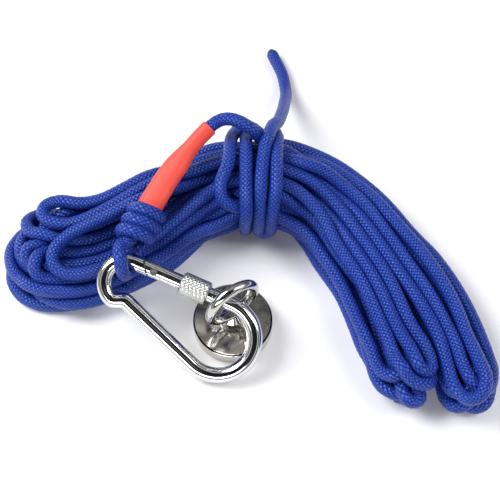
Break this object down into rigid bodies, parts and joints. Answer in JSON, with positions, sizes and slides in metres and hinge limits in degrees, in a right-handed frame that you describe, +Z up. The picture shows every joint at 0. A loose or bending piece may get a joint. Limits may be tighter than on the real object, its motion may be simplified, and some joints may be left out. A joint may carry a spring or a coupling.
{
  "type": "magnet fishing magnet",
  "caption": "Pot magnet with a lifting eye, hung on a pear-shaped screw-lock carabiner that is knotted to a tied hank of braided cord with a shrink tube.",
  "frame": {"origin": "centre of the magnet's pull face, which lies on the surface that the set rests on", "axes": "+Z up through the magnet and its eye; +X towards the long half of the hank; +Y from the magnet towards the hank's tie"},
  "size_m": [0.227, 0.2085, 0.0539],
  "materials": {
    "pot_nickel": "bright nickel plate, slightly warm",
    "magnet": "satin nickel plate on sintered magnet",
    "resin": "cast epoxy, matt",
    "eye_nickel": "bright nickel plate",
    "washer_steel": "zinc plated spring steel",
    "bar_nickel": "bright zinc-nickel plated bar",
    "gate_nickel": "bright plated tube",
    "pin_steel": "plain steel",
    "spring_steel": "drawn spring wire",
    "knurled_steel": "satin plate over a fine diamond knurl",
    "shrink_red": "smooth satin shrink tube",
    "rope_blue": "glossy filament braid"
  },
  "bodies": {
    "carabiner": {"carabiner_body": "bar_nickel", "shrink_tube": "shrink_red", "rope_eye": "rope_blue", "rope_knot": "rope_blue", "rope_lead": "rope_blue", "rope_hank_left": "rope_blue", "rope_tie": "rope_blue", "rope_hank_right": "rope_blue", "rope_tail": "rope_blue"},
    "gate": {"carabiner_gate": "gate_nickel", "hinge_rivet": "pin_steel", "gate_spring": "spring_steel"},
    "plunger": {"spring_plunger": "pin_steel"},
    "sleeve": {"screw_sleeve": "knurled_steel"},
    "magnet": {"pot_cup": "pot_nickel", "magnet_disc": "magnet", "resin_ring": "resin", "eye_bolt": "eye_nickel", "lock_washer": "washer_steel"}
  },
  "joints": [
    {"name": "gate_swing", "type": "hinge", "parent": "carabiner", "child": "gate", "pos_m": [-0.0343, 0.01444, 0.02766], "axis": [0.0849, 0.5341, -0.8412], "range_deg": [0, 26], "stiffness_Nm_per_rad": 0.05, "springref_deg": -34.38},
    {"name": "sleeve_screw", "type": "slide", "parent": "gate", "child": "sleeve", "axis": [0.9173, -0.3716, -0.1433], "range_m": [0, 0.0035]},
    {"name": "plunger_push", "type": "slide", "parent": "gate", "child": "plunger", "axis": [0.9173, -0.3716, -0.1433], "range_m": [0, 0.0005]},
    {"name": "magnet_swing", "type": "hinge", "parent": "carabiner", "child": "magnet", "pos_m": [0.00045, 0.00035, 0.02223], "axis": [0.9008, -0.4019, -0.1642], "range_deg": [0, 60]}
  ],
  "couplings": [
    {"joint": "plunger_push", "follows": "gate_swing", "m_per_rad": 0.0011}
  ]
}
